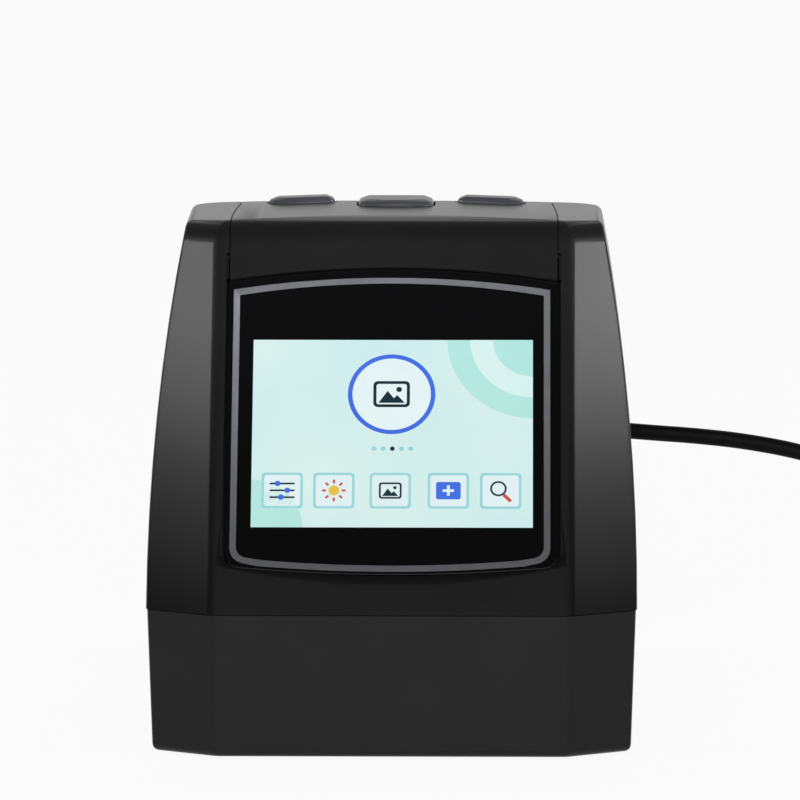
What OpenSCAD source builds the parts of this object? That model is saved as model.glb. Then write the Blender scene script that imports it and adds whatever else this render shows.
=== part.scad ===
// Desktop film negative scanner: a wedge-shaped housing on a drafted base, a tilted
// display behind a black window, three keys on top and a film channel through the base.
// Millimetres, +Z up, the front faces -Y, the origin is on the table under the middle.

/* [Body] */
// Width of the upper housing where it meets the base
body_w = 85.2; // [84:0.2:104]
// Depth of the upper housing where it meets the base
body_d = 84; // [84:1:102]
// Height of the whole scanner, feet included
body_h = 90.6; // [90:0.2:110]
// Height of the parting line between base and upper housing
part_z = 26; // [25.5:0.5:30]
// Wall thickness of the moulded housings
wall = 2; // [1.6:0.1:2.4]
// Width of the dark line left between two housings
part_gap = 0.15; // [0.1:0.05:0.3]

/* [Upper housing form] */
// Backward lean of the front face from the vertical, degrees
front_lean = 32; // [29:1:33]
// Sweep of the cheeks to the rear, seen from above, degrees
cheek_sweep = 30; // [24:1:34]
// Width of the flat margin between the window and the cheeks
cheek_margin = 1.6; // [1:0.2:2.4]
// Radius of the roll from the front face to the top
front_roll_r = 8.4; // [6:0.2:10]
// Radius of the roll from the top to the rear wall
rear_roll_r = 14; // [10:1:16]
// Forward lean of the rear wall, degrees
rear_lean = 3; // [1:0.5:4]
// Radius of the bowed side walls, seen from the front
side_bow_r = 310; // [260:10:500]
// Height at which the bowed sides are widest
side_bow_z = 30; // [28:1:34]
// Radius of the crown across the top
crown_r = 700; // [500:50:1200]
// Rounding of the top edges along the sides
top_edge_r = 1.4; // [1:0.2:3]
// Rounding of the edges between cheeks and sides
cheek_edge_r = 1; // [0.6:0.1:1.6]
// Rounding of the soft creases between front and cheeks
crease_r = 5.5; // [2:0.5:6]
// Rounding of the rear corners, seen from above
rear_corner_r = 6; // [4:0.5:8]

/* [Base] */
// Height of the rubber feet below the base
foot_h = 0.8; // [0.6:0.1:1.2]
// Diameter of a rubber foot
foot_d = 8; // [6:0.5:10]
// Inward draft of the base's front, cheeks and rear, degrees
base_draft = 3; // [1.5:0.5:4]
// Inward draft of the base's side walls, degrees
side_draft = 1.8; // [1:0.1:3]
// Rounding of the lower edges of the base
base_edge_r = 1.5; // [1:0.1:2.5]
// Step by which the base stands back from the upper housing
reveal = 0.2; // [0.1:0.05:0.5]

/* [Window and display] */
// Width of the window pocket
window_w = 58.8; // [57.6:0.2:60]
// Distance of the pocket's lower edge up the front face from the parting line
window_low = 7.7; // [7:0.1:8.4]
// Radius of the pocket's bowed lower edge
window_bow_r = 278; // [200:10:400]
// Radius of the pocket's lower corners
window_corner_r = 3.2; // [2.4:0.2:4]
// Depth of the window's face below the front face
window_sunk = 0.9; // [0.6:0.1:1.2]
// Thickness of the window plate
window_t = 1.2; // [1:0.1:1.4]
// Radius of the scooped lip below the window
dish_r = 127; // [110:1:160]
// Length of the scooped lip below the window
dish_l = 2.25; // [1:0.25:3]
// Visible width of the display
screen_w = 48.96; // [48:0.1:50]
// Visible height of the display
screen_h = 36.72; // [36:0.1:37.6]
// Height of the display's centre up the front face from the parting line
screen_mid = 34.9; // [34.4:0.1:36]
// Width of the display module
lcd_w = 54.5; // [54:0.1:55]
// Height of the display module
lcd_l = 45.4; // [45:0.1:46]
// Thickness of the display module
lcd_t = 2.8; // [2:0.1:3.2]

/* [Top cover and keys] */
// Half width of the top cover at the front
cover_half = 28.75; // [28:0.05:28.9]
// Narrowing of each side of the top cover towards the rear
cover_taper = 0.85; // [0:0.05:1.2]
// Distance of the cover's lower edge up the front face, in the middle
cover_low = 66.5; // [65:0.1:67]
// Radius of the cover's arched lower edge
cover_arch_r = 169; // [140:1:220]
// Distance of the cover's rear edge from the rear of the housing
cover_inset = 8; // [7:0.5:9]
// Width of the gap round the top cover
cover_gap = 0.3; // [0.2:0.05:0.5]
// Width of the middle key
mid_key_w = 13.5; // [12:0.5:14.5]
// Depth of the middle key
mid_key_d = 10; // [9:0.5:12]
// Width of a side key
side_key_w = 12; // [10:0.5:12.5]
// Depth of a side key
side_key_d = 5.5; // [5:0.5:8]
// Distance of a side key from the middle
side_key_x = 17; // [16.6:0.1:17.4]
// Turn of a side key seen from above, inner end to the rear, degrees
side_key_turn = 6; // [0:1:8]
// Distance of the middle key's rear edge from the rear of the housing
key_inset = 16; // [16:0.1:18]
// Height of the keys above the top cover
key_proud = 1.1; // [0.8:0.1:1.4]
// Travel of a key
key_travel = 0.6; // [0.3:0.1:0.7]
// Gap round a key
key_gap = 0.3; // [0.2:0.05:0.4]

/* [Film channel and light] */
// Width of the film channel, front to rear
channel_w = 58; // [52:1:58]
// Height of the film channel
channel_h = 7.5; // [5:0.5:7.5]
// Height of the channel floor above the table
channel_z = 13.5; // [13:0.1:14]
// Position of the channel's centre line and of the lens
channel_y = 2; // [1.5:0.1:2]
// Width of the film gate
gate_w = 38; // [30:1:40]
// Depth of the film gate
gate_d = 28; // [24:1:30]
// Thickness of the guide plates
guide_t = 1.5; // [1.2:0.1:1.8]

/* [Camera] */
// Height of the camera board above the table
camera_z = 58; // [54:1:60]
// Outer diameter of the lens barrel
lens_d = 14; // [12:0.5:15]
// Length of the lens barrel
lens_l = 15; // [12:0.5:16]

/* [Boards and ports] */
// Thickness of the circuit boards
board_t = 1.6; // [1.2:0.2:1.8]
// Room left behind the main board for the data port
board_inset = 9.2; // [9:0.1:9.6]
// Distance of the data port from the middle
port_x = 20; // [19:0.5:20]
// Height of the data port above the table
port_z = 42.1; // [42.1:0.1:43]

/* [Fasteners] */
// Thread diameter of the housing screws
screw_d = 2.6; // [2.2:0.2:3]
// Distance of the housing screws from the middle
screw_x = 26; // [24:0.5:27]
// Thread diameter of the small screws
small_screw_d = 1.7; // [1.4:0.1:2]

/* [Cord] */
// Diameter of the cord
cord_d = 3; // [2.6:0.1:3]

/* [Hidden] */

$fn = 48;
far = 150;
eps = 0.01;
roll_steps = 9;
side_steps = 8;
edge_steps = 3;
front_y = -body_d / 2;
rear_y = body_d / 2;
floor_z = foot_h;
crease_x = window_w / 2 + cheek_margin;
thick = window_sunk + window_t + 1.9;
seat_gap = 0.15;
cover_back = rear_y - cover_inset;
key_back = rear_y - key_inset;
board_y = rear_y - board_inset - board_t;

// ---------- outline helpers ----------

function arc(c, r, a0, a1, n) =
    [for (i = [0:n]) c + r * [cos(a0 + (a1 - a0) * i / n), sin(a0 + (a1 - a0) * i / n)]];

// Right-hand meeting point of two circles
function meet(c1, r1, c2, r2) =
    let (
        d = norm(c2 - c1),
        a = (r1 * r1 - r2 * r2 + d * d) / (2 * d),
        h = sqrt(r1 * r1 - a * a),
        u = (c2 - c1) / d
    )
    c1 + a * u + h * [-u.y, u.x] * (u.x > 0 ? 1 : -1);

function rounded_rect(w, h, r, n = 4) = concat(
    arc([w / 2 - r, -h / 2 + r], r, -90, 0, n),
    arc([w / 2 - r, h / 2 - r], r, 0, 90, n),
    arc([-w / 2 + r, h / 2 - r], r, 90, 180, n),
    arc([-w / 2 + r, -h / 2 + r], r, 180, 270, n)
);

function mirrored(points) = [for (i = [len(points) - 1:-1:0]) [-points[i].x, points[i].y]];

function turned_lean(phi) = atan(tan(front_lean) * cos(phi));

// Distance of a front corner line from the middle plane of a frame turned by phi
function turned_front(phi) = front_y * cos(phi) - crease_x * sin(phi);

// Depth cut off a corner of total turn `turn` by a rounding of radius r, off its bisector
function corner_cut(r, turn, off) = r * (cos(off) / cos(turn / 2) - 1);

// ---------- form of the upper housing ----------

// Front face line and roll at height z, in a frame turned by phi
function front_line(phi, z) =
    let (
        lean = turned_lean(phi),
        zc = body_h - front_roll_r,
        start = turned_front(phi),
        yc = start + (zc - part_z) * tan(lean) + front_roll_r / cos(lean)
    )
    z < zc + front_roll_r * sin(lean)
        ? start + (z - part_z) * tan(lean)
        : yc - sqrt(max(0, pow(front_roll_r, 2) - pow(z - zc, 2)));

// Rear wall line and roll at height z
function rear_line(z) =
    let (
        zc = body_h - rear_roll_r,
        yc = rear_y - (zc - part_z) * tan(rear_lean) - rear_roll_r / cos(rear_lean)
    )
    z < zc + rear_roll_r * sin(rear_lean)
        ? rear_y - (z - part_z) * tan(rear_lean)
        : yc + sqrt(max(0, pow(rear_roll_r, 2) - pow(z - zc, 2)));

function side_x(z) =
    body_w / 2 - side_bow_r + sqrt(pow(side_bow_r, 2) - pow(z - side_bow_z, 2));

// Outline in (y, z) of a prism whose front leans and rolls over; t moves it inwards
function lean_outline(phi, shift, t, bottom, with_rear) =
    let (
        lean = turned_lean(phi),
        zc = body_h - front_roll_r,
        start = turned_front(phi) + shift,
        yc = start + (zc - part_z) * tan(lean) + front_roll_r / cos(lean),
        zr = body_h - rear_roll_r,
        yr = rear_y - (zr - part_z) * tan(rear_lean) - rear_roll_r / cos(rear_lean)
    )
    concat(
        [[start + (bottom - part_z) * tan(lean) + t / cos(lean), bottom]],
        arc([yc, zc], front_roll_r - t, 180 - lean, 90, roll_steps),
        with_rear
            ? concat(
                arc([yr, zr], rear_roll_r - t, 90, rear_lean, roll_steps),
                [[rear_y - (bottom - part_z) * tan(rear_lean) - t / cos(rear_lean), bottom]]
            )
            : [[far, body_h - t], [far, bottom]]
    );

// Outline in (x, z): bowed sides, rounded upper edges and a crowned top
function bow_outline(t, bottom) =
    let (
        r = max(top_edge_r - t, 0.3),
        side_c = [body_w / 2 - side_bow_r, side_bow_z],
        top_c = [0, body_h - crown_r],
        c = meet(side_c, side_bow_r - t - r, top_c, crown_r - t - r),
        a_low = asin((bottom - side_bow_z) / (side_bow_r - t)),
        a_side = atan2(c.y - side_c.y, c.x - side_c.x),
        a_top = atan2(c.y - top_c.y, c.x),
        half = concat(
            arc(side_c, side_bow_r - t, a_low, a_side, side_steps),
            arc(c, r, a_side, a_top, edge_steps),
            arc(top_c, crown_r - t, a_top, 90, edge_steps)
        )
    )
    concat(half, mirrored(half));

module prism_x(points) {
    rotate([90, 0, 90])
        linear_extrude(height = 2 * far, center = true)
            polygon(points);
}

module prism_y(points) {
    rotate([90, 0, 0])
        linear_extrude(height = 2 * far, center = true)
            polygon(points);
}

// Keeps what lies inside a line of corner points, seen along the direction theta
module corner_keep(corners, theta, depth) {
    side = [for (p = corners) [p.x * cos(theta) + p.y * sin(theta) - depth, p.z]];
    rotate([0, 0, theta])
        prism_y(concat(side, [[-far, corners[len(corners) - 1].z], [-far, corners[0].z]]));
}

// Corner points of the upper housing between a cheek and a side, and between rear and side
function levels(bottom) = concat(
    [for (i = [0:side_steps]) bottom + (body_h - front_roll_r - bottom) * i / side_steps],
    [for (i = [1:roll_steps]) body_h - front_roll_r + front_roll_r * sin(90 * i / roll_steps)]
);

function cheek_corner(bottom) = [
    for (z = levels(bottom))
        [
            side_x(z),
            (front_line(cheek_sweep, z) + side_x(z) * sin(cheek_sweep)) / cos(cheek_sweep),
            z
        ]
];

function rear_corner(bottom) = [for (z = levels(bottom)) [side_x(z), rear_line(z), z]];

// Turns of the three narrow faces that round the crease between front and cheek
crease_turns = [for (i = [1:3]) cheek_sweep * i / 4];

function crease_cut(phi) = corner_cut(crease_r, cheek_sweep, phi - cheek_sweep / 2);

module upper_core(t, bottom) {
    intersection() {
        prism_x(lean_outline(0, 0, t, bottom, true));
        for_both_sides() {
            rotate([0, 0, cheek_sweep])
                prism_x(lean_outline(cheek_sweep, 0, t, bottom, false));
            corner_keep(rear_corner(bottom), 45, corner_cut(rear_corner_r, 90, 0) + t);
        }
        prism_y(bow_outline(t, bottom));
    }
}

// Upper housing as a solid; t moves its surface inwards, and only the outer one has soft edges
module upper_form(t = 0, bottom = part_z) {
    if (t > 0)
        upper_core(t, bottom);
    else
        intersection() {
            upper_core(0, bottom);
            for_both_sides() {
                intersection_for (phi = crease_turns)
                    rotate([0, 0, phi])
                        prism_x(lean_outline(phi, crease_cut(phi), 0, bottom, false));
                corner_keep(cheek_corner(bottom), -20, corner_cut(cheek_edge_r, 60, 10));
                corner_keep(cheek_corner(bottom), -40, corner_cut(cheek_edge_r, 60, 10));
                corner_keep(rear_corner(bottom), 22.5, corner_cut(rear_corner_r, 90, 22.5));
                corner_keep(rear_corner(bottom), 67.5, corner_cut(rear_corner_r, 90, 22.5));
            }
        }
}

// Intersection of the children with their mirror images
module for_both_sides() {
    intersection_for (s = [0, 1])
        mirror([s, 0, 0])
            intersection_for (i = [0:$children - 1])
                children(i);
}

// ---------- form of the base ----------

base_top = part_z - part_gap;
base_half = side_x(part_z) - reveal;

// Outline of a drafted prism with a rounded lower edge; start is its front at the parting
function base_front(start, t, top, draft) =
    let (
        r = max(base_edge_r - t, 0.3),
        zc = floor_z + t + r,
        yc = start + (part_z - zc) * tan(draft) + (t + r) / cos(draft)
    )
    concat(
        [[start + (part_z - top) * tan(draft) + t / cos(draft), top]],
        arc([yc, zc], r, 180 + draft, 270, edge_steps + 2)
    );

function base_outline(start, t, top, rear, draft = base_draft) =
    concat(base_front(start, t, top, draft), mirrored(base_front(rear, t, top, draft)));

cheek_start = turned_front(cheek_sweep) + reveal;

function base_x(z) = base_half - (part_z - z) * tan(side_draft);

function base_front_corner(top) = [
    for (z = [floor_z, top])
        [
            base_x(z),
            (cheek_start + (part_z - z) * tan(base_draft) + base_x(z) * sin(cheek_sweep))
                / cos(cheek_sweep),
            z
        ]
];

function base_rear_corner(top) = [
    for (z = [floor_z, top]) [base_x(z), rear_y - reveal - (part_z - z) * tan(base_draft), z]
];

module base_core(t, top) {
    intersection() {
        prism_x(base_outline(front_y + reveal, t, top, -rear_y + reveal));
        for_both_sides() {
            rotate([0, 0, cheek_sweep])
                prism_x(base_outline(cheek_start, t, top, -far));
            corner_keep(base_rear_corner(top), 45, corner_cut(rear_corner_r, 90, 0) + t);
        }
        prism_y(base_outline(-base_half, t, top, -base_half, side_draft));
    }
}

// Base as a solid; t moves its surface inwards, and only the outer one has soft edges
module base_form(t = 0, top = base_top) {
    if (t > 0)
        base_core(t, top);
    else
        intersection() {
            base_core(0, top);
            for_both_sides() {
                intersection_for (phi = crease_turns)
                    rotate([0, 0, phi])
                        prism_x(base_outline(
                            turned_front(phi) + crease_cut(phi)
                                + reveal * cos(phi - cheek_sweep / 2) / cos(cheek_sweep / 2),
                            0, top, -far
                        ));
                corner_keep(base_front_corner(top), -20, corner_cut(cheek_edge_r, 60, 10));
                corner_keep(base_front_corner(top), -40, corner_cut(cheek_edge_r, 60, 10));
                corner_keep(base_rear_corner(top), 22.5, corner_cut(rear_corner_r, 90, 22.5));
                corner_keep(base_rear_corner(top), 67.5, corner_cut(rear_corner_r, 90, 22.5));
            }
        }
}

// ---------- places ----------

// Frame on the front face: X across, Y up the slope from the parting line, Z outwards
module on_front(n = 0) {
    translate([0, front_y, part_z])
        rotate([90 - front_lean, 0, 0])
            translate([0, 0, n])
                children();
}

module front_box(x0, x1, s0, s1, n0, n1) {
    on_front(n0)
        translate([x0, s0, 0])
            cube([x1 - x0, s1 - s0, n1 - n0]);
}

screw_inset = 6.1;
screw_front_y = front_y + screw_inset;
screw_rear_y = rear_y - screw_inset;
screw_places = [
    for (x = [-screw_x, screw_x], y = [screw_front_y, screw_rear_y]) [x, y]
];
boss_d = screw_d + 2.9;
screw_head_d = 2 * screw_d;
screw_head_t = 1.6;
screw_seat_z = floor_z + wall + 1.2;
screw_hole_d = screw_head_d + 0.5;
screw_l = part_z + 4.5 - screw_seat_z;

// ---------- window pocket ----------

window_top = cover_low + 2.2;
window_back = window_sunk + window_t;

// Outline of the pocket on the front face; grow widens it all round, drop lowers its foot
function window_outline(grow, top, drop = 0) =
    let (
        hw = window_w / 2 + grow,
        r = window_corner_r + grow,
        xc = hw - r,
        low = window_low - grow - drop,
        half = concat(
            [for (i = [0:4]) [xc * i / 4, low + pow(xc * i / 4, 2) / (2 * window_bow_r)]],
            arc([xc, low + xc * xc / (2 * window_bow_r) + r], r, 270, 360, 6),
            [[hw, top]]
        )
    )
    concat(half, [for (i = [len(half) - 1:-1:1]) [-half[i].x, half[i].y]]);

module window_prism(grow, top, n0, n1) {
    on_front(n0)
        linear_extrude(height = n1 - n0)
            polygon(window_outline(grow, top));
}

dish_depth = 0.6;
dish_side = 0.9;

// Scooped lip under the window, drawn up round the pocket's lower corners
module window_dish() {
    intersection() {
        on_front(-dish_depth)
            translate([0, window_low - dish_l + dish_r, 0])
                cylinder(h = 2 * dish_depth, r1 = dish_r - dish_l, r2 = dish_r + dish_l, $fn = 96);
        on_front(-dish_depth)
            linear_extrude(height = 2 * dish_depth)
                polygon(window_outline(dish_side, window_low + 12, dish_l - dish_side + 0.3));
    }
}

// ---------- top cover zone ----------

cover_low_z = part_z + 40;

// Zone of the top cover: narrow rear, arched lower edge; grow widens it all round
module cover_zone(grow) {
    steps = 5;
    half = concat(
        [[cover_half + grow, -far], [cover_half + grow, 0]],
        [
            for (i = [1:steps])
                let (y = (cover_back - 9) * i / steps)
                [cover_half + grow - cover_taper * pow(i / steps, 2), y]
        ],
        [[cover_half + grow - cover_taper, cover_back + grow]]
    );
    difference() {
        translate([0, 0, cover_low_z])
            linear_extrude(height = body_h)
                polygon(concat(half, mirrored(half)));
        on_front(-3 * thick)
            translate([0, cover_low - cover_arch_r - grow, 0])
                cylinder(h = 4 * thick, r = cover_arch_r, $fn = 128);
    }
}

// ---------- keys ----------

mid_key_r = 2;
side_key_r = 2.4;
flange_t = 1.2;
flange_w = 0.8;
flange_top = body_h - wall - 1.4;
key_bottom = flange_top - flange_t;
board_top = body_h - 11.9;
switch_w = 6;
switch_h = 3.5;
plunger_d = 3.4;
plunger_top = board_top + switch_h + 1;
plunger_l = 1.7;
mid_key_y = key_back - mid_key_d / 2;
side_key_y = key_back + 2.6 - side_key_d / 2;
side_key_tilt = asin(side_key_x / crown_r);
key_end_fall = 0.9;

// Plan of the middle key: its front edge bows towards the user
function mid_key_outline(grow) =
    let (
        hw = mid_key_w / 2 + grow,
        back = mid_key_d / 2 + grow,
        bow = 1.6,
        r = mid_key_r + grow,
        half = concat(
            [for (i = [0:3]) let (x = (hw - r) * i / 3) [x, -back + bow * pow(x / hw, 2)]],
            arc([hw - r, -back + bow * pow((hw - r) / hw, 2) + r], r, 270, 360, 4),
            arc([hw - r, back - r], r, 0, 90, 4)
        )
    )
    concat(half, [for (i = [len(half) - 1:-1:1]) [-half[i].x, half[i].y]]);

// Plan of the right key: tight corners inside, wide ones outside
function side_key_outline(grow) =
    let (
        hw = side_key_w / 2 + grow,
        hd = side_key_d / 2 + grow,
        ri = 1.2 + grow,
        ro = side_key_r + grow
    )
    concat(
        arc([hw - ro, -hd + ro], ro, 270, 360, 4),
        arc([hw - ro, hd - ro], ro, 0, 90, 4),
        arc([-hw + ri, hd - ri], ri, 90, 180, 3),
        arc([-hw + ri, -hd + ri], ri, 180, 270, 3)
    );

// A key cap: rounded upper edge, flange under the cover and a stem to its switch
module key_cap(points, inner, flange, top, tilt = 0) {
    hull() {
        translate([0, 0, flange_top])
            linear_extrude(height = top - 1 - flange_top)
                polygon(points);
        translate([0, 0, top - 0.45])
            rotate([0, tilt, 0])
                linear_extrude(height = eps)
                    polygon(inner[0]);
        translate([0, 0, top - eps])
            rotate([0, tilt, 0])
                linear_extrude(height = eps)
                    polygon([for (p = inner[1]) [p.x * key_end_fall, p.y]]);
    }
    translate([0, 0, key_bottom])
        linear_extrude(height = flange_t)
            polygon(flange);
    translate([0, 0, plunger_top])
        cylinder(h = key_bottom - plunger_top, d = plunger_d);
}

module side_key() {
    translate([side_key_x, side_key_y, 0])
        rotate([0, 0, -side_key_turn])
            key_cap(
                side_key_outline(0),
                [side_key_outline(-0.35), side_key_outline(-1)],
                side_key_outline(flange_w),
                body_h + key_proud - 0.3,
                side_key_tilt
            );
}

module plunger() {
    translate([0, 0, plunger_top - plunger_l])
        cylinder(h = plunger_l, d = plunger_d);
}

key_spots = [[-side_key_x, side_key_y], [0, mid_key_y], [side_key_x, side_key_y]];
key_boss_x = 12;
key_boss_y = mid_key_y - mid_key_d / 2 - flange_w - 3;
key_boss_d = 4.4;

// ---------- housings ----------

channel_half = channel_w / 2;
slot_clear = 0.2;
guide_half = base_x(channel_z - guide_t) - wall - 0.4;
foot_places = [
    for (x = [-1, 1], y = [-1, 1]) [x * (body_w / 2 - 8.4), channel_y - 1 + y * (body_d / 2 - 16)]
];

module base_housing() {
    color("#232324") difference() {
        union() {
            difference() {
                base_form();
                base_form(wall, part_z + 1);
            }
            intersection() {
                base_form(wall / 2);
                for (p = screw_places)
                    translate([p.x, p.y, floor_z + wall / 2]) {
                        cylinder(h = base_top - floor_z - wall / 2, d = boss_d);
                        cylinder(h = screw_seat_z + 1.2 - floor_z - wall / 2, d = screw_hole_d + 2.6);
                    }
            }
        }
        for (p = screw_places)
            translate([p.x, p.y, 0]) {
                cylinder(h = screw_seat_z, d = screw_hole_d);
                cylinder(h = part_z, d = screw_d + 0.3);
            }
        translate([-far, channel_y - channel_half - slot_clear, channel_z - slot_clear])
            cube([2 * far, channel_w + 2 * slot_clear, channel_h + 2 * slot_clear]);
        for (p = foot_places)
            translate([p.x, p.y, 0])
                cylinder(h = floor_z + 0.5, d = foot_d + 0.2);
    }
}

// Where the upper housing is twice as thick: round the window and under the cover's edges
module thick_zone() {
    front_box(-crease_x - 0.2, crease_x + 0.2, 2.5, 75, -3 * wall, wall);
    for (s = [0, 1])
        mirror([s, 0, 0])
            translate([cover_half - 3, -far, part_z + 50])
                cube([6.5, far + cover_back + 3, body_h]);
}

boss_top = part_z + 12.5;
rib_t = 1.6;
main_high = part_z + 46.5;
lcd_low = screen_mid - screen_h / 2 - 6.6;
lcd_high = lcd_low + lcd_l;
bracket_x = lcd_w / 2 + 2.7;
bracket_s = [lcd_low + 4, lcd_high - 4];
bracket_n = -window_back - 0.1 - lcd_t - 0.1;
board_posts = [
    [-12, part_z + 6.5], [12, part_z + 6.5], [-4, main_high - 4], [28, main_high - 4]
];
post_d = 5;

module upper_housing() {
    color("#2a2a2b") difference() {
        union() {
            difference() {
                upper_form();
                difference() {
                    upper_form(wall, part_z - 1);
                    thick_zone();
                }
                upper_form(thick, part_z - 1);
            }
            intersection() {
                upper_form(wall / 2, part_z);
                for (p = screw_places) {
                    translate([p.x, p.y, part_z])
                        cylinder(h = boss_top - part_z, d = boss_d);
                    if (p.y > 0)
                        translate([p.x - rib_t / 2, p.y, part_z])
                            cube([rib_t, far, boss_top - part_z]);
                }
            }
            intersection() {
                upper_form(wall / 2, part_z);
                for (p = board_posts)
                    translate([p.x, board_y + board_t, p.y])
                        rotate([-90, 0, 0])
                            cylinder(h = far, d = post_d);
            }
            for (x = [-bracket_x, bracket_x], s = bracket_s)
                on_front(bracket_n)
                    translate([x, s, 0])
                        cylinder(h = -bracket_n - thick + 0.3, d = 4);
        }
        difference() {
            cover_zone(cover_gap);
            upper_form(wall + seat_gap, part_z - 1);
        }
        cover_zone(-3);
        window_prism(0, window_top + 0.5, -window_back - 0.05, wall);
        window_dish();
        front_box(-lcd_w / 2 - 0.3, lcd_w / 2 + 0.3, lcd_low - 0.3, lcd_high + 0.3,
            -thick - 1, 0);
        for (p = screw_places)
            translate([p.x, p.y, part_z - 1])
                cylinder(h = boss_top - part_z - 0.5, d = screw_d - 0.4);
        for (p = board_posts)
            translate([p.x, board_y, p.y])
                rotate([-90, 0, 0])
                    cylinder(h = board_t + 5.5, d = small_screw_d - 0.3);
        for (x = [-bracket_x, bracket_x], s = bracket_s)
            on_front(bracket_n - 1)
                translate([x, s, 0])
                    cylinder(h = 3.6, d = small_screw_d - 0.3);
        port_hole();
        card_mouth();
    }
}

port_w = 7.7;
port_h = 4;
port_l = 8;
card_z = 42;
card_w = 24.6;
card_body = [27.5, 2.9, 28];
card_x = wall + 3 - body_w / 2;

module port_hole() {
    translate([port_x, board_y + board_t + 1, port_z])
        rotate([-90, 0, 0])
            linear_extrude(height = far)
                polygon(rounded_rect(port_w + 0.6, port_h + 0.6, 0.8));
}

module card_mouth() {
    translate([-far, board_y - card_body.y / 2 - 1.4, card_z + 1.4])
        cube([far + card_x - 0.5, 2.7, card_w + 0.8]);
}

module top_cover() {
    color("#2c2c2d") difference() {
        union() {
            intersection() {
                difference() {
                    upper_form();
                    upper_form(wall);
                }
                cover_zone(0);
            }
            for (x = [-key_boss_x, key_boss_x])
                translate([x, key_boss_y, board_top])
                    cylinder(h = body_h - wall + 0.5 - board_top, d = key_boss_d);
        }
        front_box(-far, far, cover_low - 10, cover_low + 4, -2 * wall, -window_sunk + 0.15);
        translate([0, mid_key_y, body_h - 2 * wall])
            linear_extrude(height = 3 * wall)
                polygon(mid_key_outline(key_gap));
        for (s = [0, 1])
            mirror([s, 0, 0])
                translate([side_key_x, side_key_y, body_h - 2 * wall])
                    rotate([0, 0, -side_key_turn])
                        linear_extrude(height = 3 * wall)
                            polygon(side_key_outline(key_gap));
        for (x = [-key_boss_x, key_boss_x])
            translate([x, key_boss_y, board_top - 1])
                cylinder(h = 6.5, d = small_screw_d - 0.3);
    }
}

// ---------- window and display ----------

module display_window() {
    color("#08080a")
        window_prism(-0.3, window_top, -window_back, -window_sunk);
}

module lcd_module() {
    color("#c9e6e2") difference() {
        front_box(-lcd_w / 2, lcd_w / 2, lcd_low, lcd_high,
            -window_back - 0.1 - lcd_t, -window_back - 0.1);
        front_box(-screen_w / 2, screen_w / 2, screen_mid - screen_h / 2,
            screen_mid + screen_h / 2, -window_back - 0.2, 0);
    }
}

module lcd_bracket() {
    color("#a9adb0") difference() {
        front_box(-bracket_x - 1.9, bracket_x + 1.9, lcd_low - 0.5, lcd_high + 0.5,
            bracket_n - 0.8, bracket_n);
        front_box(-18, 18, lcd_low + 9, lcd_high - 9, bracket_n - 2, bracket_n + 1);
        for (x = [-bracket_x, bracket_x], s = bracket_s)
            on_front(bracket_n - 2)
                translate([x, s, 0])
                    cylinder(h = 4, d = small_screw_d + 0.3);
    }
}

// ---------- keys, switches and their board ----------

module key_left() {
    color("#303031")
        mirror([1, 0, 0])
            side_key();
}

module key_right() {
    color("#303031")
        side_key();
}

module key_middle() {
    color("#343436")
        translate([0, mid_key_y, 0])
            key_cap(
                mid_key_outline(0),
                [mid_key_outline(-0.35), mid_key_outline(-1)],
                mid_key_outline(flange_w),
                body_h + key_proud
            );
}

module plunger_left() {
    color("#151515")
        translate(key_spots[0])
            plunger();
}

module plunger_middle() {
    color("#151515")
        translate(key_spots[1])
            plunger();
}

module plunger_right() {
    color("#151515")
        translate(key_spots[2])
            plunger();
}

module key_switches() {
    color("#b8bcc0")
        for (p = key_spots)
            translate([p.x, p.y, board_top])
                difference() {
                    translate([-switch_w / 2, -switch_w / 2, 0])
                        cube([switch_w, switch_w, switch_h]);
                    translate([0, 0, switch_h + 1 - plunger_l - key_travel - 0.2])
                        cylinder(h = switch_h, d = plunger_d + 0.2);
                }
}

module key_board() {
    color("#1f5a35") difference() {
        translate([-25, key_boss_y - 3, board_top - board_t])
            cube([50, side_key_y + switch_w / 2 + 1.5 - key_boss_y + 3, board_t]);
        for (x = [-key_boss_x, key_boss_x])
            translate([x, key_boss_y, board_top - 2 * board_t])
                cylinder(h = 4 * board_t, d = small_screw_d + 0.3);
    }
}

// ---------- main board and its ports ----------

main_low = part_z + 3.5;
main_half = body_w / 2 - 11.5;

module main_board() {
    color("#1f5a35") difference() {
        translate([-main_half, board_y, main_low])
            cube([2 * main_half, board_t, main_high - main_low]);
        for (p = board_posts)
            translate([p.x, board_y - 1, p.y])
                rotate([-90, 0, 0])
                    cylinder(h = board_t + 2, d = small_screw_d + 0.3);
    }
}

// Processor, memory, power parts and two can capacitors on the front of the board
module main_chips() {
    color("#101012") {
        for (c = [[10, 50, 12, 12, 1.2], [26, 52, 8, 11, 1.1], [6, 35, 6, 5, 1], [22, 36, 5, 5, 1.6]])
            translate([c[0] - c[2] / 2, board_y - c[4], c[1] - c[3] / 2])
                cube([c[2], c[4], c[3]]);
        for (x = [-3, -20])
            translate([x, board_y, part_z + 10.5])
                rotate([90, 0, 0])
                    cylinder(h = 5.5, d = 5);
    }
}

module usb_port() {
    color("#b5b8bb")
        translate([port_x, board_y + board_t, port_z])
            difference() {
                rotate([-90, 0, 0])
                    linear_extrude(height = port_l)
                        polygon(rounded_rect(port_w, port_h, 0.6));
                translate([-port_w / 2 + 0.4, 1.4, -port_h / 2 + 0.45])
                    cube([port_w - 0.8, port_l, port_h - 0.9]);
            }
}

module card_slot() {
    color("#b5b8bb")
        translate([card_x, board_y - card_body.y, card_z])
            difference() {
                cube(card_body);
                translate([-1, 0.4, (card_body.z - card_w) / 2])
                    cube([card_body.x - 3, 2.1, card_w]);
            }
}

// ---------- camera ----------

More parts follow.
